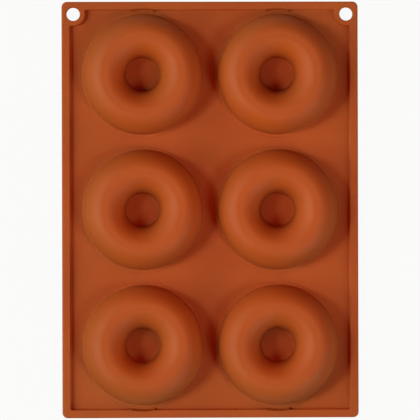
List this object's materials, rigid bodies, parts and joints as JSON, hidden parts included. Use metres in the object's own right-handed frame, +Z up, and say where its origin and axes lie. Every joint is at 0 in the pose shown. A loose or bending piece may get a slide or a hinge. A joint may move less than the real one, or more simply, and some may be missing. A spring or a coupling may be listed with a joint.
{
  "type": "silicone doughnut mould",
  "caption": "Flexible rectangular baking mould with a flat sheet, a raised rim with hanging holes, and ring cavities whose rounded backs stand up from the sheet.",
  "frame": {"origin": "centre of the open face, which is the lowest plane of the mould as it lies face down", "axes": "+Z up, from the open face towards the backs of the rings; +Y along the long side, towards the edge with the hanging holes; +X across the two columns"},
  "size_m": [0.178, 0.25, 0.025],
  "materials": {
    "silicone": "satin"
  },
  "bodies": {
    "root": {"doughnut_mould": "silicone"}
  },
  "joints": []
}
